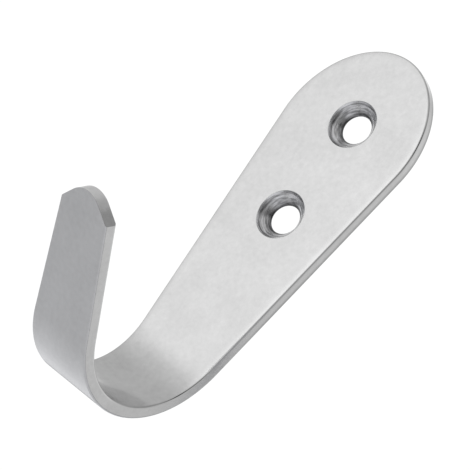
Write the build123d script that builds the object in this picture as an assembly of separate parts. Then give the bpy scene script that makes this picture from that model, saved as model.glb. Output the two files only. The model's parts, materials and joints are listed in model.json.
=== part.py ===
from build123d import *

import os
from math import acos, atan2, cos, degrees, hypot, radians, sin, tan

# One-piece coat hook: a stainless strip, cut to a tapered outline with a rounded
# head and tip, drilled and countersunk for two screws, and bent up into a J.
# Frame: the back face lies on the wall at Y = 0, -Y points into the room, +Z is up,
# and the origin is on the back face midway between the two screw holes.

# Driving dimensions, in millimetres and degrees

strip_thickness = 2.0

head_width = 25.0
head_rise = 14.6
head_centre_height = 7.2

plate_drop = 33.5
bend_start_width = 16.1

bend_inner_radius = 12.5
bend_angle = 141.0

arm_root_width = 12.0
arm_length = 18.3
tip_width = 10.1
tip_peak = 4.7
tip_round = 4.1

hole_spacing = 17.5
hole_diameter = 4.8
countersink_diameter = 8.0
countersink_angle = 82.0

edge_round = 0.3

# Margin by which a cutting solid runs past what it cuts

cut_margin = 1.0

# Points along each side edge of the bend, its two ends included

bend_edge_points = 9

# Places that follow from the driving dimensions

turn = radians(bend_angle)
bend_outer_radius = bend_inner_radius + strip_thickness
bend_middle_radius = bend_inner_radius + strip_thickness / 2
bend_middle_length = bend_middle_radius * turn
bend_axis = Vector(0, -bend_outer_radius, -plate_drop)
arm_direction = Vector(0, -sin(turn), -cos(turn))
arm_outward = Vector(0, cos(turn), -sin(turn))
arm_taper = (tip_width - arm_root_width) / 2 / arm_length


def side_tangent_point():
    """Point of the head's ellipse where the straight right-hand side leaves it."""
    across = bend_start_width / head_width
    down = (head_centre_height + plate_drop) / head_rise
    angle = acos(1 / hypot(across, down)) - atan2(down, across)
    return angle, Vector(
        head_width / 2 * cos(angle), 0, head_centre_height + head_rise * sin(angle)
    )


side_angle, side_start = side_tangent_point()
side_end = Vector(bend_start_width / 2, 0, -plate_drop)
plate_side_direction = (side_end - side_start).normalized()
plate_taper = plate_side_direction.X / -plate_side_direction.Z


def bend_half_width(share):
    """Half width of the bend at a share of its turn, in line with plate and arm."""
    start = bend_start_width / 2
    end = arm_root_width / 2
    start_slope = plate_taper * bend_middle_length
    end_slope = arm_taper * bend_middle_length
    return (
        start * (1 + 2 * share) * (1 - share) ** 2
        + start_slope * share * (1 - share) ** 2
        + end * share**2 * (3 - 2 * share)
        + end_slope * share**2 * (share - 1)
    )


def make_plate():
    """Flat mounting plate with its elliptical head and straight tapered sides."""
    head = EllipticalCenterArc(
        (0, head_centre_height),
        head_width / 2,
        head_rise,
        start_angle=degrees(side_angle),
        arc_size=180 - 2 * degrees(side_angle),
    )
    sides = Polyline(
        head @ 1,
        (-bend_start_width / 2, -plate_drop),
        (bend_start_width / 2, -plate_drop),
        head @ 0,
    )
    return extrude(Plane.XZ * make_face(head + sides), strip_thickness)


def bend_point(share, radius, side):
    """Point of a side edge of the bend, at a radius from the bend's axis."""
    angle = share * turn
    radial = Vector(0, cos(angle), -sin(angle))
    return bend_axis + radial * radius + Vector(side * bend_half_width(share), 0, 0)


def bend_side_edge(radius, side):
    """Side edge of the bend, tangent to the plate's side and to the arm's side."""
    shares = [step / (bend_edge_points - 1) for step in range(bend_edge_points)]
    leave_plate = Vector(side * plate_taper, 0, -1)
    join_arm = arm_direction + Vector(side * arm_taper, 0, 0)
    return Spline(
        [bend_point(share, radius, side) for share in shares],
        tangents=(leave_plate, join_arm),
    )


def make_bend():
    """Round bend whose sides draw in smoothly from the plate to the arm."""
    axis_point = (bend_axis.Y, bend_axis.Z)
    inner = CenterArc(axis_point, bend_inner_radius, 0, -bend_angle)
    outer = CenterArc(axis_point, bend_outer_radius, 0, -bend_angle)
    section = make_face(inner + outer + Line(inner @ 0, outer @ 0) + Line(inner @ 1, outer @ 1))
    bend = extrude(Plane.YZ * section, bend_start_width / 2 + cut_margin, both=True)
    for side in (-1, 1):
        cut_face = Face.make_surface_from_curves(
            bend_side_edge(bend_inner_radius - cut_margin, side).edge(),
            bend_side_edge(bend_outer_radius + cut_margin, side).edge(),
        )
        bend -= extrude(cut_face, bend_start_width, dir=(side, 0, 0))
    return bend


def make_arm():
    """Straight arm that rises out of the bend to two slanted flanks and a round tip."""
    root = bend_axis + arm_outward * bend_inner_radius
    inner_face = Plane(origin=root, x_dir=(1, 0, 0), z_dir=arm_outward)
    tip = FilletPolyline(
        (tip_width / 2, arm_length),
        (0, arm_length + tip_peak),
        (-tip_width / 2, arm_length),
        radius=tip_round,
    )
    sides = Polyline(
        tip @ 1,
        (-arm_root_width / 2, 0),
        (arm_root_width / 2, 0),
        tip @ 0,
    )
    return extrude(inner_face * make_face(tip + sides), strip_thickness)


def is_tip_edge(edge):
    """Whether an edge runs round the arm's tip, beyond its two corners."""
    reach = edge @ 0.5 - bend_axis
    return reach.dot(arm_outward) > 0 and reach.dot(arm_direction) > arm_length


def round_edges(strip):
    """Break the long edges round the front and back of the strip and leave the cut tip crisp."""
    edges = strip.edges()
    across_strip = (Axis.X, Axis.Y, Axis((0, 0, 0), arm_outward))
    crossing = [edge for axis in across_strip for edge in edges.filter_by(axis)]
    long_edges = [edge for edge in edges if edge not in crossing and not is_tip_edge(edge)]
    return fillet(long_edges, edge_round)


def make_screw_hole(height):
    """Cutter for one clearance hole, countersunk from the front."""
    sink_depth = (countersink_diameter - hole_diameter) / 2 / tan(radians(countersink_angle / 2))
    front = Plane(origin=(0, -strip_thickness, height), x_dir=(1, 0, 0), z_dir=(0, 1, 0))
    bore = Cylinder(
        hole_diameter / 2,
        strip_thickness + 2 * cut_margin,
        align=(Align.CENTER, Align.CENTER, Align.MIN),
    )
    sink = Cone(
        countersink_diameter / 2,
        hole_diameter / 2,
        sink_depth,
        align=(Align.CENTER, Align.CENTER, Align.MIN),
    )
    return front * (Pos(0, 0, -cut_margin) * bore + sink)


def make_hook():
    """The whole strip as one solid."""
    hook = round_edges(make_plate() + make_bend() + make_arm())
    for height in (-hole_spacing / 2, hole_spacing / 2):
        hook -= make_screw_hole(height)
    return hook


hook_body = make_hook()

os.makedirs("parts", exist_ok=True)
export_step(hook_body, "parts/hook_body.step")
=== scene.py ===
import json
from math import acos, atan2, cos, hypot, pi, radians, sin, tan
from typing import NamedTuple

import bmesh
import bpy
from bpy.props import FloatProperty, FloatVectorProperty, PointerProperty
from mathutils import Matrix, Vector


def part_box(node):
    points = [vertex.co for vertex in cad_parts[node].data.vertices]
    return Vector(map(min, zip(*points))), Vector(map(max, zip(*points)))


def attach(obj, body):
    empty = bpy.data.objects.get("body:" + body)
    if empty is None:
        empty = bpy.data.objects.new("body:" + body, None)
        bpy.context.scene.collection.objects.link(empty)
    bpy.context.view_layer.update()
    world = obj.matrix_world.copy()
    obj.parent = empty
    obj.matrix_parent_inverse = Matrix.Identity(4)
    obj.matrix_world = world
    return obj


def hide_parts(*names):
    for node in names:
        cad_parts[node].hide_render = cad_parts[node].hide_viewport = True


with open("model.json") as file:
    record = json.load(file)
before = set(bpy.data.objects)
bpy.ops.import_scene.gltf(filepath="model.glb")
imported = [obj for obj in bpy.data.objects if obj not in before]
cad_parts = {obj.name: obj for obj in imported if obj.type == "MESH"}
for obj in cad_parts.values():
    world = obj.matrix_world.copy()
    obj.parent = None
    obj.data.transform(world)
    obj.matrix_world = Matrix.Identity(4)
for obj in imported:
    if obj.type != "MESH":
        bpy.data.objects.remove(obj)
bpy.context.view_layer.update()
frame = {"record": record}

bl_info = {
    "name": "Bent strip coat hook",
    "version": (1, 0, 0),
    "blender": (4, 5, 0),
    "location": "3D View > Sidebar > Coat Hook",
    "description": "Models a coat hook bent from one steel strip and sets it in a plain studio",
    "category": "Add Mesh",
}

# The hook is modelled as it is made: a flat blank is cut to its outline, gets its edges rounded and
# its screw holes countersunk, and is then bent. The blank lies in the plate's own plane, so the plate
# stays where it is when the lower part is bent up into the hook.

# What the frame gives

hook_low, hook_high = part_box("hook_body")
screw_holes = next(mount for mount in frame["record"]["mounts"] if mount["name"] == "screw_holes")
hole_spacing = screw_holes["dims"]["spacing_y_mm"] / 1000
bore_radius = screw_holes["dims"]["hole_r_mm"] / 1000

# How finely round shapes are divided

HEAD_POINTS = 160
BEND_STEPS = 64
TIP_STEPS = 16
HOLE_POINTS = 96
EDGE_STEPS = 7
ROLL_STEPS = 6
SINK_STEPS = 24

# How sharply the front face rolls off towards its edge

ROLL_POWER = 3

# Turning marks in a countersink, counted in half waves

GROOVE_HALF_WAVES = 3

# How far the countersink tool runs past the strip's faces

CUT_MARGIN = 0.0005

# Distances in metres below which two heights or two points count as the same

SAME_HEIGHT = 1e-6
SAME_POINT = 1e-7

# How much a normal of the blank points along Y, at most on its narrow side and at least on its faces

SIDE_SLANT = 0.1
FACE_SLANT = 0.9

# Edges that turn by less than this are shaded smoothly

SMOOTH_ANGLE = radians(14)


def length(name, description, default):
    """A size in metres that the panel shows."""
    return FloatProperty(name=name, description=description, default=default, unit="LENGTH", precision=5)


def angle(name, description, default):
    """An angle in radians that the panel shows in degrees."""
    return FloatProperty(name=name, description=description, default=default, subtype="ANGLE")


def colour(name, description, default):
    """A colour that the panel shows."""
    return FloatVectorProperty(
        name=name, description=description, default=default, subtype="COLOR", min=0, max=1
    )


class HookStrip(bpy.types.PropertyGroup):
    """Sizes of the strip that the hook is bent from."""

    thickness: length("Thickness", "Thickness of the strip", 0.002)
    head_width: length("Head width", "Widest part of the head", hook_high.x - hook_low.x)
    head_rise: length("Head rise", "From the head's widest line up to its crown", 0.0146)
    crown_height: length("Crown height", "Top of the head above the middle of the holes", hook_high.z)
    plate_drop: length("Plate drop", "From the middle of the holes down to the bend", 0.0335)
    bend_start_width: length("Width at the bend", "Strip width where the plate ends", 0.0161)
    bend_inner_radius: length("Bend radius", "Inner radius of the bend", 0.0125)
    bend_angle: angle("Bend angle", "How far the strip turns from the plate to the arm", radians(141))
    arm_root_width: length("Arm width", "Strip width where the arm starts", 0.012)
    arm_length: length("Arm length", "From the bend to the tip's corners", 0.0183)
    tip_width: length("Tip width", "Strip width at the tip's corners", 0.0101)
    tip_peak: length("Tip peak", "From the tip's corners to where its two flanks would meet", 0.0047)
    tip_round: length("Tip round", "Radius that rounds the tip between its flanks", 0.0041)
    edge_round: length("Edge round", "Radius of the tumbled long edges", 0.0003)
    roll_width: length("Edge roll width", "Band along the front edge that rolls off", 0.0014)
    roll_depth: length("Edge roll depth", "How far the front face drops at its edge", 0.00007)


class HookHoles(bpy.types.PropertyGroup):
    """Sizes of the two screw holes."""

    spacing: length("Spacing", "Distance between the two holes", hole_spacing)
    bore: length("Bore radius", "Radius of the through hole", bore_radius)
    mouth: length("Mouth radius", "Radius of the countersink at the front face", 0.004)
    sink_angle: angle("Countersink angle", "Full angle of the countersink", radians(82))
    lip: length("Lip", "Width of the broken edge round the mouth", 0.00006)
    groove_depth: length("Turning marks", "Half depth of the soft grooves in the countersink", 0.00008)


class HookFinish(bpy.types.PropertyGroup):
    """Colours of the metal."""

    steel: colour("Satin steel", "Colour of the satin steel faces", (0.71, 0.71, 0.71))
    cut_steel: colour(
        "Cut steel", "Colour of the steel that the countersink tool left bare", (0.72, 0.72, 0.73)
    )


class HookStage(bpy.types.PropertyGroup):
    """Size and colour of the floor."""

    floor_colour: colour("Floor", "Colour of the floor", (0.72, 0.725, 0.745))
    floor_size: length("Floor size", "Length of the floor's sides", 4.0)


# The strip's shape worked out from its sizes


def bend_length(strip):
    """Length of the bend along the middle of the strip."""
    return (strip.bend_inner_radius + strip.thickness / 2) * strip.bend_angle


def side_start(strip):
    """Half width and height where the straight side leaves the head's ellipse."""
    centre = strip.crown_height - strip.head_rise
    across = strip.bend_start_width / strip.head_width
    down = (centre + strip.plate_drop) / strip.head_rise
    turn = acos(1 / hypot(across, down)) - atan2(down, across)
    return strip.head_width / 2 * cos(turn), centre + strip.head_rise * sin(turn)


def bend_half_width(strip, share):
    """Half width at a share of the bend, in line with the plate's side and the arm's side."""
    start_width, start_height = side_start(strip)
    start = strip.bend_start_width / 2
    end = strip.arm_root_width / 2
    start_slope = (start - start_width) / (start_height + strip.plate_drop) * bend_length(strip)
    end_slope = (strip.tip_width / 2 - end) / strip.arm_length * bend_length(strip)
    return (
        start * (1 + 2 * share) * (1 - share) ** 2
        + start_slope * share * (1 - share) ** 2
        + end * share**2 * (3 - 2 * share)
        + end_slope * share**2 * (share - 1)
    )


def bend_stations(strip):
    """Height on the flat blank and half width along the bend, both ends included."""
    shares = [step / BEND_STEPS for step in range(BEND_STEPS + 1)]
    return [
        (-strip.plate_drop - share * bend_length(strip), bend_half_width(strip, share))
        for share in shares
    ]


def tip_stations(strip):
    """Height on the flat blank and half width from the tip's corners to the end of the arm."""
    corner_height = -strip.plate_drop - bend_length(strip) - strip.arm_length
    half = strip.tip_width / 2
    slant = atan2(strip.tip_peak, half)
    round_height = corner_height - strip.tip_peak + strip.tip_round / cos(slant)
    turns = [slant * (1 - step / TIP_STEPS) for step in range(TIP_STEPS + 1)]
    return [(corner_height, half)] + [
        (round_height - strip.tip_round * cos(turn), strip.tip_round * sin(turn)) for turn in turns
    ]


def countersink_rings(strip, holes):
    """Depth below the front face and radius of the rings of a countersink with soft turning marks."""
    lip_radius = holes.mouth + holes.lip
    lip_top = -holes.lip / 3
    cone_top = holes.lip / 2
    cone_end = (holes.mouth - holes.bore) / tan(holes.sink_angle / 2)
    rings = [(-CUT_MARGIN, lip_radius), (lip_top, lip_radius)]
    for step in range(SINK_STEPS + 1):
        share = step / SINK_STEPS
        groove = holes.groove_depth * (1 - share) * (1 - cos(GROOVE_HALF_WAVES * pi * share))
        cone_radius = holes.mouth + (holes.bore - holes.mouth) * share
        rings.append((cone_top + (cone_end - cone_top) * share, cone_radius + groove))
    return rings + [(strip.thickness + CUT_MARGIN, holes.bore)]


# Modelling steps


def add_primitive(operator, **settings):
    """Add a primitive with nothing else selected, apply its place and return its object."""
    bpy.ops.object.select_all(action="DESELECT")
    operator(**settings)
    bpy.ops.object.transform_apply(location=True, rotation=True, scale=True)
    return bpy.context.object


def select_only(piece):
    """Select one object and nothing else."""
    bpy.ops.object.select_all(action="DESELECT")
    piece.select_set(True)
    bpy.context.view_layer.objects.active = piece


def apply_modifier(piece, modifier):
    """Apply one modifier to its piece."""
    select_only(piece)
    bpy.ops.object.modifier_apply(modifier=modifier.name)


def select_where(kind, test):
    """Select the vertices, edges or faces that pass a test, and nothing else."""
    bpy.ops.mesh.select_mode(type=kind)
    bpy.ops.mesh.select_all(action="DESELECT")
    mesh = bmesh.from_edit_mesh(bpy.context.object.data)
    parts = {"VERT": mesh.verts, "EDGE": mesh.edges, "FACE": mesh.faces}[kind]
    for part in parts:
        if test(part):
            part.select_set(True)
    mesh.select_flush_mode()
    bmesh.update_edit_mesh(bpy.context.object.data)


def extrude(move):
    """Extrude what is selected."""
    bpy.ops.mesh.extrude_region_move(TRANSFORM_OT_translate={"value": move})


def is_outline(edge, lowest):
    """Whether an edge above a height lies between a broad face of the blank and its narrow side."""
    slants = sorted(abs(face.normal.y) for face in edge.link_faces)
    middle = (edge.verts[0].co + edge.verts[1].co) / 2
    return slants[0] < SIDE_SLANT and slants[-1] > FACE_SLANT and middle.z > lowest


def draw_outline(strip):
    """Outline of the blank in edit mode: the head's ellipse carried on down to the tip."""
    centre = strip.crown_height - strip.head_rise
    half_width, height = side_start(strip)
    blank = add_primitive(
        bpy.ops.mesh.primitive_circle_add,
        vertices=HEAD_POINTS,
        radius=1,
        fill_type="NOTHING",
        rotation=(pi / 2, 0, 0),
    )
    bpy.ops.object.mode_set(mode="EDIT")
    bpy.ops.mesh.select_all(action="SELECT")
    bpy.ops.transform.resize(value=(strip.head_width / 2, 1, strip.head_rise))
    bpy.ops.transform.translate(value=(0, 0, centre))
    bpy.ops.mesh.bisect(plane_co=(0, 0, height), plane_no=(0, 0, 1), clear_inner=True)
    select_where("VERT", lambda vertex: vertex.co.z < height + SAME_HEIGHT)
    for next_height, next_half_width in bend_stations(strip) + tip_stations(strip):
        extrude((0, 0, next_height - height))
        bpy.ops.transform.resize(value=(next_half_width / half_width, 1, 1), center_override=(0, 0, 0))
        height = next_height
        half_width = next_half_width
    bpy.ops.mesh.select_all(action="SELECT")
    bpy.ops.mesh.remove_doubles(threshold=SAME_POINT)
    return blank


def give_thickness(strip):
    """Thicken the blank towards the front and roll its front face off towards the edge."""
    bpy.ops.mesh.select_all(action="SELECT")
    extrude((0, strip.roll_depth - strip.thickness, 0))
    bpy.ops.mesh.select_all(action="SELECT")
    bpy.ops.mesh.normals_make_consistent(inside=False)
    select_where("FACE", lambda face: face.normal.y < -FACE_SLANT)
    for step in range(ROLL_STEPS):
        left = 1 - step / ROLL_STEPS
        left_after = 1 - (step + 1) / ROLL_STEPS
        bpy.ops.mesh.inset(
            thickness=strip.roll_width / ROLL_STEPS,
            depth=strip.roll_depth * (left**ROLL_POWER - left_after**ROLL_POWER),
        )


def cut_blank(strip):
    """Flat blank in the plate's plane, its back at Y = 0, with round long edges and a crisp tip."""
    blank = draw_outline(strip)
    bpy.ops.mesh.edge_face_add()
    for height, _ in bend_stations(strip):
        bpy.ops.mesh.select_all(action="SELECT")
        bpy.ops.mesh.bisect(plane_co=(0, 0, height), plane_no=(0, 0, 1), threshold=SAME_HEIGHT)
    give_thickness(strip)
    corner_height = tip_stations(strip)[0][0]
    select_where("EDGE", lambda edge: is_outline(edge, corner_height))
    bpy.ops.mesh.bevel(offset=strip.edge_round, segments=EDGE_STEPS, profile=0.5)
    bpy.ops.object.mode_set(mode="OBJECT")
    return blank


def sink_hole(blank, strip, holes, height):
    """Drill and countersink one screw hole from the front."""
    rings = countersink_rings(strip, holes)
    depth, radius = rings[0]
    cutter = add_primitive(
        bpy.ops.mesh.primitive_circle_add,
        vertices=HOLE_POINTS,
        radius=radius,
        fill_type="NGON",
        location=(0, depth - strip.thickness, height),
        rotation=(pi / 2, 0, 0),
    )
    bpy.ops.object.mode_set(mode="EDIT")
    bpy.ops.mesh.select_all(action="SELECT")
    for next_depth, next_radius in rings[1:]:
        extrude((0, next_depth - depth, 0))
        scale = next_radius / radius
        bpy.ops.transform.resize(value=(scale, 1, scale), center_override=(0, 0, height))
        depth = next_depth
        radius = next_radius
    bpy.ops.mesh.select_all(action="SELECT")
    bpy.ops.mesh.normals_make_consistent(inside=False)
    bpy.ops.object.mode_set(mode="OBJECT")
    cut = blank.modifiers.new("countersink", "BOOLEAN")
    cut.operation = "DIFFERENCE"
    cut.solver = "EXACT"
    cut.object = cutter
    apply_modifier(blank, cut)
    bpy.data.objects.remove(cutter)


def keep_flat_places(blank):
    """Keep each point's place on the flat blank, so that the grain follows the strip."""
    places = blank.data.attributes.new("flat_place", "FLOAT_VECTOR", "POINT")
    for vertex, place in zip(blank.data.vertices, places.data):
        place.vector = vertex.co


def bend_up(blank, strip):
    """Bend the lower part of the blank forwards and up into the hook."""
    lowest = tip_stations(strip)[-1][0]
    total = strip.crown_height - lowest
    bend_end = -strip.plate_drop - bend_length(strip)
    bpy.ops.object.select_all(action="DESELECT")
    bpy.ops.object.empty_add(location=(0, -strip.thickness / 2, -strip.plate_drop))
    bend_line = bpy.context.object
    bpy.context.view_layer.update()
    bend = blank.modifiers.new("bend", "SIMPLE_DEFORM")
    bend.deform_method = "BEND"
    bend.deform_axis = "X"
    bend.origin = bend_line
    bend.limits = ((bend_end - lowest) / total, (-strip.plate_drop - lowest) / total)
    bend.angle = -strip.bend_angle
    apply_modifier(blank, bend)
    bpy.data.objects.remove(bend_line)


def smooth(piece):
    """Shade the round edges smoothly and keep the broad faces flat."""
    select_only(piece)
    bpy.ops.object.shade_smooth_by_angle(angle=SMOOTH_ANGLE)
    weights = piece.modifiers.new("flat faces lead", "WEIGHTED_NORMAL")
    weights.keep_sharp = True
    apply_modifier(piece, weights)


# Node helpers


def feed(tree, socket, value):
    """Link another node's output to a socket, or set the socket's value."""
    if isinstance(value, bpy.types.NodeSocket):
        tree.links.new(value, socket)
    else:
        socket.default_value = value


def add_math(tree, operation, *values):
    """Math node on numbers or sockets; returns its result."""
    node = tree.nodes.new("ShaderNodeMath")
    node.operation = operation
    for socket, value in zip(node.inputs, values):
        feed(tree, socket, value)
    return node.outputs["Value"]


def add_step(tree, value, ends, results, kind="SMOOTHSTEP"):
    """Step from the first result to the second while the value goes from one end to the other."""
    node = tree.nodes.new("ShaderNodeMapRange")
    node.interpolation_type = kind
    feed(tree, node.inputs["Value"], value)
    node.inputs["From Min"].default_value = ends[0]
    node.inputs["From Max"].default_value = ends[1]
    node.inputs["To Min"].default_value = results[0]
    node.inputs["To Max"].default_value = results[1]
    return node.outputs["Result"]


class Pattern(NamedTuple):
    """Noise pattern: its features per unit of length along each axis, and its detail."""

    scale: tuple
    detail: float


def add_noise(tree, place, pattern):
    """Noise between 0 and 1 in a pattern."""
    mapping = tree.nodes.new("ShaderNodeMapping")
    mapping.inputs["Scale"].default_value = pattern.scale
    tree.links.new(place, mapping.inputs["Vector"])
    noise = tree.nodes.new("ShaderNodeTexNoise")
    noise.inputs["Scale"].default_value = 1
    noise.inputs["Detail"].default_value = pattern.detail
    tree.links.new(mapping.outputs["Vector"], noise.inputs["Vector"])
    return noise.outputs["Fac"]


def add_tint(tree, value, base, tints):
    """The base colour times the first tint where the value is 0 and the second where it is 1."""
    ramp = tree.nodes.new("ShaderNodeValToRGB")
    for element, tint in zip(ramp.color_ramp.elements, tints):
        element.color = [channel * tint for channel in base] + [1]
    tree.links.new(value, ramp.inputs["Fac"])
    return ramp.outputs["Color"]


def find_socket(sockets, identifier):
    """The socket with an identifier, for a node on which several share a name."""
    return next(socket for socket in sockets if socket.identifier == identifier)


def add_colour_mix(tree, share, first, second):
    """Mix of two colours, the second one by a share."""
    mix = tree.nodes.new("ShaderNodeMix")
    mix.data_type = "RGBA"
    tree.links.new(share, find_socket(mix.inputs, "Factor_Float"))
    tree.links.new(first, find_socket(mix.inputs, "A_Color"))
    tree.links.new(second, find_socket(mix.inputs, "B_Color"))
    return find_socket(mix.outputs, "Result_Color")


def add_scaled_colour(tree, base, scale):
    """A colour times a number."""
    scaled = tree.nodes.new("ShaderNodeVectorMath")
    scaled.operation = "SCALE"
    tree.links.new(base, scaled.inputs["Vector"])
    tree.links.new(scale, scaled.inputs["Scale"])
    return scaled.outputs["Vector"]


def add_bump(tree, height, distance, normal=None):
    """Bump node over an optional earlier one; returns its normal."""
    bump = tree.nodes.new("ShaderNodeBump")
    bump.inputs["Strength"].default_value = 1
    bump.inputs["Distance"].default_value = distance
    tree.links.new(height, bump.inputs["Height"])
    if normal is not None:
        tree.links.new(normal, bump.inputs["Normal"])
    return bump.outputs["Normal"]


# The finish

# Patterns along the blank's width, thickness and length

SPECKLE = Pattern(scale=(1300, 1300, 1300), detail=1)
CLOUD = Pattern(scale=(160, 160, 160), detail=2)
GRAIN = Pattern(scale=(1500, 1500, 400), detail=1)

# Pattern of the tool's streaks, first on a unit circle round the hole and then down its wall

STREAKS = Pattern(scale=(1.5, 1.5, 2000), detail=2)

# Noise values between which the streaks turn light and the speckle turns rough

STREAK_ENDS = (0.38, 0.62)
SPECKLE_ENDS = (0.3, 0.7)

# Darkest and lightest tint of the faces and of the countersinks

FACE_TINTS = (0.84, 1.16)
SINK_TINTS = (0.5, 1.35)

# Roughness of the faces from smooth to rough, and what edges and countersinks add to it

FACE_ROUGHNESS = (0.15, 0.19)
EDGE_ROUGHNESS = -0.05
SINK_ROUGHNESS = 0.17

# Height in metres of the grain and of the tool's streaks

GRAIN_HEIGHT = 0.000002
STREAK_HEIGHT = 0.00003

# Shares of the thickness over which the back face ends and, from the middle, the narrow side ends

BACK_FACE_ENDS = (0, 0.02)
NARROW_SIDE_ENDS = (0.44, 0.49)

# Share of their colour that the plate's narrow side and the lands of the holes lose to painted shade near
# the back face

SIDE_PAINTED_SHADE = 0.4
LAND_PAINTED_SHADE = 0.75

# Shares of the thickness over which that painted shade thins out, and how far above the bend it is full

SIDE_SHADE_ENDS = (0.1, 0.5)
LAND_SHADE_ENDS = (0.08, 0.45)
SHADE_RISE = 0.012

# How much lighter the cut edge at the tip's worn end is painted, as a painted highlight, and how much
# rougher its wear makes it

TIP_PAINTED_HIGHLIGHT = 0.2
WEAR_ROUGHNESS = 0.32

# How far beyond the tip's corners the wear and its painted highlight start and are full

WEAR_AND_HIGHLIGHT_START = 0.0011
WEAR_AND_HIGHLIGHT_FULL = 0.002


def measure_from_hole(tree, across, along, holes):
    """Distance from the nearer hole's middle, first along the strip and then straight."""
    hole_along = add_math(tree, "SUBTRACT", add_math(tree, "ABSOLUTE", along), holes.spacing / 2)
    across_squared = add_math(tree, "POWER", across, 2)
    along_squared = add_math(tree, "POWER", hole_along, 2)
    return hole_along, add_math(tree, "SQRT", add_math(tree, "ADD", across_squared, along_squared))


def add_streaks(tree, across, hole_along, radius, through):
    """Noise drawn out into streaks that run round a hole's wall."""
    around = tree.nodes.new("ShaderNodeCombineXYZ")
    feed(tree, around.inputs["X"], add_math(tree, "DIVIDE", across, radius))
    feed(tree, around.inputs["Y"], add_math(tree, "DIVIDE", hole_along, radius))
    feed(tree, around.inputs["Z"], add_math(tree, "SUBTRACT", radius, through))
    return add_noise(tree, around.outputs["Vector"], STREAKS)


def add_painted_shade(tree, depth, off_back, in_sink, on_plate):
    """Share of the colour darkened as painted shade near the plate's back face, on its narrow side and in
    the holes' lands, but not on that face.
    """
    on_side = add_step(tree, depth, SIDE_SHADE_ENDS, (SIDE_PAINTED_SHADE, 0))
    on_land = add_math(tree, "MULTIPLY", in_sink, add_step(tree, depth, LAND_SHADE_ENDS, (LAND_PAINTED_SHADE, 0)))
    near_back = add_math(tree, "MAXIMUM", on_side, on_land)
    return add_math(tree, "MULTIPLY", add_math(tree, "MULTIPLY", off_back, near_back), on_plate)


def satin_steel(finish, strip, holes):
    """Fine satin steel with tumbled edges, a worn tip with a painted highlight, bare tool-marked
    countersinks, and painted shade near the plate's back face and in the holes.
    """
    material = bpy.data.materials.new("satin_steel")
    material.use_nodes = True
    tree = material.node_tree
    shader = tree.nodes["Principled BSDF"]
    shader.inputs["Metallic"].default_value = 1

    flat = tree.nodes.new("ShaderNodeAttribute")
    flat.attribute_name = "flat_place"
    place = flat.outputs["Vector"]
    axes = tree.nodes.new("ShaderNodeSeparateXYZ")
    tree.links.new(place, axes.inputs["Vector"])
    across, through, along = axes.outputs

    hole_along, radius = measure_from_hole(tree, across, along, holes)
    depth = add_math(tree, "DIVIDE", through, -strip.thickness)
    off_back = add_step(tree, depth, BACK_FACE_ENDS, (0, 1))
    near_hole = add_step(tree, radius, (holes.mouth, holes.mouth + holes.lip), (1, 0))
    in_sink = add_math(tree, "MULTIPLY", near_hole, off_back)
    from_middle = add_math(tree, "ABSOLUTE", add_math(tree, "SUBTRACT", depth, 0.5))
    on_edge = add_step(tree, from_middle, NARROW_SIDE_ENDS, (1, 0))
    on_plate = add_step(tree, along, (-strip.plate_drop, -strip.plate_drop + SHADE_RISE), (0, 1))
    corner = tip_stations(strip)[0][0]
    at_tip = add_step(tree, along, (corner - WEAR_AND_HIGHLIGHT_FULL, corner - WEAR_AND_HIGHLIGHT_START), (1, 0))
    # Mask of the worn tip's edge: real wear makes it rougher, and a painted highlight makes it lighter
    tip_wear_and_highlight = add_math(tree, "MULTIPLY", on_edge, at_tip)

    speckle = add_noise(tree, place, SPECKLE)
    cloud = add_noise(tree, place, CLOUD)
    grain = add_noise(tree, place, GRAIN)
    streaks = add_streaks(tree, across, hole_along, radius, through)

    half_speckle = add_math(tree, "MULTIPLY", speckle, 0.5)
    half_cloud = add_math(tree, "MULTIPLY", cloud, 0.5)
    tone = add_math(tree, "ADD", half_speckle, half_cloud)
    face_colour = add_tint(tree, tone, finish.steel, FACE_TINTS)
    streak_tone = add_step(tree, streaks, STREAK_ENDS, (0, 1), "LINEAR")
    sink_colour = add_tint(tree, streak_tone, finish.cut_steel, SINK_TINTS)
    clean_colour = add_colour_mix(tree, in_sink, face_colour, sink_colour)
    # Painted shade: the plate's narrow side and the holes' lands are darkened near the back face
    painted_shade = add_painted_shade(tree, depth, off_back, in_sink, on_plate)
    left_by_painted_shade = add_math(tree, "SUBTRACT", 1, painted_shade)
    # Painted highlight: the worn tip's edge is lightened
    light = add_math(tree, "MULTIPLY_ADD", tip_wear_and_highlight, TIP_PAINTED_HIGHLIGHT, left_by_painted_shade)
    tree.links.new(add_scaled_colour(tree, clean_colour, light), shader.inputs["Base Color"])

    face_roughness = add_step(tree, speckle, SPECKLE_ENDS, FACE_ROUGHNESS)
    with_edges = add_math(tree, "MULTIPLY_ADD", on_edge, EDGE_ROUGHNESS, face_roughness)
    with_sinks = add_math(tree, "MULTIPLY_ADD", in_sink, SINK_ROUGHNESS, with_edges)
    with_wear = add_math(tree, "MULTIPLY_ADD", tip_wear_and_highlight, WEAR_ROUGHNESS, with_sinks)
    tree.links.new(with_wear, shader.inputs["Roughness"])

    fine = add_bump(tree, grain, GRAIN_HEIGHT)
    rough_cut = add_bump(tree, add_math(tree, "MULTIPLY", streaks, in_sink), STREAK_HEIGHT, fine)
    tree.links.new(rough_cut, shader.inputs["Normal"])
    return material


class MakeHook(bpy.types.Operator):
    """Cut, countersink and bend the strip, and give it its satin finish"""

    bl_idname = "coat_hook.make_hook"
    bl_label = "Make the hook"
    bl_options = {"REGISTER", "UNDO"}

    def execute(self, context):
        strip = context.scene.hook_strip
        holes = context.scene.hook_holes
        hook = cut_blank(strip)
        for side in (-1, 1):
            sink_hole(hook, strip, holes, side * holes.spacing / 2)
        keep_flat_places(hook)
        bend_up(hook, strip)
        smooth(hook)
        hook.name = "hook_strip"
        hook.data.materials.append(satin_steel(context.scene.hook_finish, strip, holes))
        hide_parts("hook_body")
        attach(hook, "root")
        return {"FINISHED"}


# The stage

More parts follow.
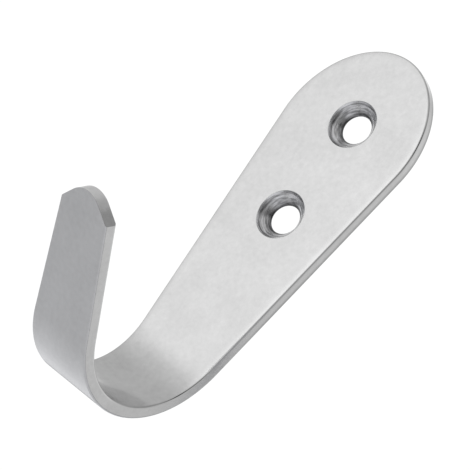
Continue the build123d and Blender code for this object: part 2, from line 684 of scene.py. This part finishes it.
# Camera with the photograph's place, angle and lens, fitted to the edges of the hook

VIEW_AZIMUTH = radians(37.89)
VIEW_TILT = radians(4.96)
VIEW_ROLL = radians(38.69)
VIEW_PLACE = (0.198916, -0.263094, -0.043968)
VIEW_LENS = 168.06
VIEW_SENSOR = 36
VIEW_NEAREST = 0.01

FLOOR_HEIGHT = -0.25
FLOOR_ROUGHNESS = 0.9
FLOOR_SHINE = 0.1


class Glow(NamedTuple):
    """Soft patch of the studio: the cosines to its direction where it is full and where it ends."""

    direction: tuple
    full: float
    none: float
    strength: float


# Even light of the studio, and the patches that add to it or take from it

FILL = 0.55
GLOWS = {
    "front": Glow(direction=(-0.3, -0.95, -0.1), full=1.0, none=0.4, strength=0.3),
    "front lamp": Glow(direction=(-0.3, -0.95, 0.03), full=0.985, none=0.8, strength=0.26),
    "core of the front lamp": Glow(direction=(-0.28, -0.95, 0.05), full=0.99, none=0.95, strength=0.14),
    "backdrop": Glow(direction=(-0.5, 0.86, -0.05), full=0.95, none=0.7, strength=0.49),
    "backdrop right": Glow(direction=(0.25, 0.96, 0.0), full=0.97, none=0.75, strength=0.15),
    "high back": Glow(direction=(0.38, 0.76, 0.53), full=0.96, none=0.82, strength=0.12),
    "behind the camera": Glow(direction=(0.84, -0.44, 0.27), full=0.95, none=0.86, strength=-0.32),
    "above the camera": Glow(direction=(0.76, -0.3, 0.58), full=0.985, none=0.95, strength=-0.28),
    "overhead": Glow(direction=(0.4, 0.15, 0.9), full=0.95, none=0.8, strength=-0.22),
}


class FloorLamp(NamedTuple):
    """Soft lamp over the floor, with its power in watts."""

    place: tuple
    power: float


FLOOR_LAMP_SIZE = 0.7
FLOOR_LAMPS = (
    FloorLamp(place=(-0.35, 0.4, 0.02), power=1.3),
    FloorLamp(place=(0.45, -0.12, 0.02), power=0.7),
)


def hang_floor_lamp(scene, floor_lamp):
    """Soft lamp that lights the floor and is itself not seen in the metal."""
    lamp_data = bpy.data.lights.new("floor_lamp", "AREA")
    lamp_data.size = FLOOR_LAMP_SIZE
    lamp_data.energy = floor_lamp.power
    lamp = bpy.data.objects.new("floor_lamp", lamp_data)
    lamp.location = floor_lamp.place
    lamp.visible_camera = False
    lamp.visible_glossy = False
    scene.collection.objects.link(lamp)


def light_studio(scene):
    """World with a bright front, a white back and dim places behind and above the camera."""
    world = bpy.data.worlds.new("studio")
    world.use_nodes = True
    tree = world.node_tree
    background = tree.nodes["Background"]
    background.inputs["Color"].default_value = (1, 1, 1, 1)
    towards = tree.nodes.new("ShaderNodeTexCoord").outputs["Generated"]
    light = FILL
    for name, glow in GLOWS.items():
        facing = tree.nodes.new("ShaderNodeVectorMath")
        facing.label = name
        facing.operation = "DOT_PRODUCT"
        facing.inputs[1].default_value = Vector(glow.direction).normalized()
        tree.links.new(towards, facing.inputs[0])
        cosine = facing.outputs["Value"]
        patch = add_step(tree, cosine, (glow.none, glow.full), (0, glow.strength), "LINEAR")
        light = add_math(tree, "ADD", patch, light)
    tree.links.new(light, background.inputs["Strength"])
    scene.world = world


def lay_floor(stage):
    """Plain pale floor under the hook."""
    floor = add_primitive(
        bpy.ops.mesh.primitive_plane_add, size=stage.floor_size, location=(0, 0, FLOOR_HEIGHT)
    )
    floor.name = "floor"
    material = bpy.data.materials.new("pale_floor")
    material.use_nodes = True
    shader = material.node_tree.nodes["Principled BSDF"]
    shader.inputs["Base Color"].default_value = (*stage.floor_colour, 1)
    shader.inputs["Roughness"].default_value = FLOOR_ROUGHNESS
    shader.inputs["Specular IOR Level"].default_value = FLOOR_SHINE
    floor.data.materials.append(material)


def place_camera(scene):
    """Camera at the photograph's viewing angle."""
    camera_data = bpy.data.cameras.new("photo_camera")
    camera_data.lens = VIEW_LENS
    camera_data.sensor_width = VIEW_SENSOR
    camera_data.clip_start = VIEW_NEAREST
    camera = bpy.data.objects.new("photo_camera", camera_data)
    scene.collection.objects.link(camera)
    camera.matrix_world = (
        Matrix.Translation(VIEW_PLACE)
        @ Matrix.Rotation(VIEW_AZIMUTH, 4, "Z")
        @ Matrix.Rotation(pi / 2 + VIEW_TILT, 4, "X")
        @ Matrix.Rotation(VIEW_ROLL, 4, "Z")
    )
    scene.camera = camera


class SetStage(bpy.types.Operator):
    """Lay the floor, light the studio and set the camera"""

    bl_idname = "coat_hook.set_stage"
    bl_label = "Set the stage"
    bl_options = {"REGISTER", "UNDO"}

    def execute(self, context):
        lay_floor(context.scene.hook_stage)
        light_studio(context.scene)
        for floor_lamp in FLOOR_LAMPS:
            hang_floor_lamp(context.scene, floor_lamp)
        place_camera(context.scene)
        context.scene.view_settings.view_transform = "Standard"
        return {"FINISHED"}


class HookPanel(bpy.types.Panel):
    """Sizes, colours and steps of the coat hook"""

    bl_idname = "VIEW3D_PT_coat_hook"
    bl_label = "Coat Hook"
    bl_space_type = "VIEW_3D"
    bl_region_type = "UI"
    bl_category = "Coat Hook"

    def draw(self, context):
        scene = context.scene
        for settings in (scene.hook_strip, scene.hook_holes, scene.hook_finish, scene.hook_stage):
            box = self.layout.box()
            for name in settings.__annotations__:
                box.prop(settings, name)
        self.layout.operator(MakeHook.bl_idname)
        self.layout.operator(SetStage.bl_idname)


classes = (HookStrip, HookHoles, HookFinish, HookStage, MakeHook, SetStage, HookPanel)


def register():
    """Register the classes and hang their settings on the scene."""
    for cls in classes:
        bpy.utils.register_class(cls)
    bpy.types.Scene.hook_strip = PointerProperty(type=HookStrip)
    bpy.types.Scene.hook_holes = PointerProperty(type=HookHoles)
    bpy.types.Scene.hook_finish = PointerProperty(type=HookFinish)
    bpy.types.Scene.hook_stage = PointerProperty(type=HookStage)


def unregister():
    """Take the settings off the scene and unregister the classes."""
    del bpy.types.Scene.hook_stage
    del bpy.types.Scene.hook_finish
    del bpy.types.Scene.hook_holes
    del bpy.types.Scene.hook_strip
    for cls in reversed(classes):
        bpy.utils.unregister_class(cls)


def main():
    """Make everything: register the classes, make the hook and set the stage."""
    register()
    bpy.ops.coat_hook.make_hook()
    bpy.ops.coat_hook.set_stage()


if __name__ == "__main__":
    main()
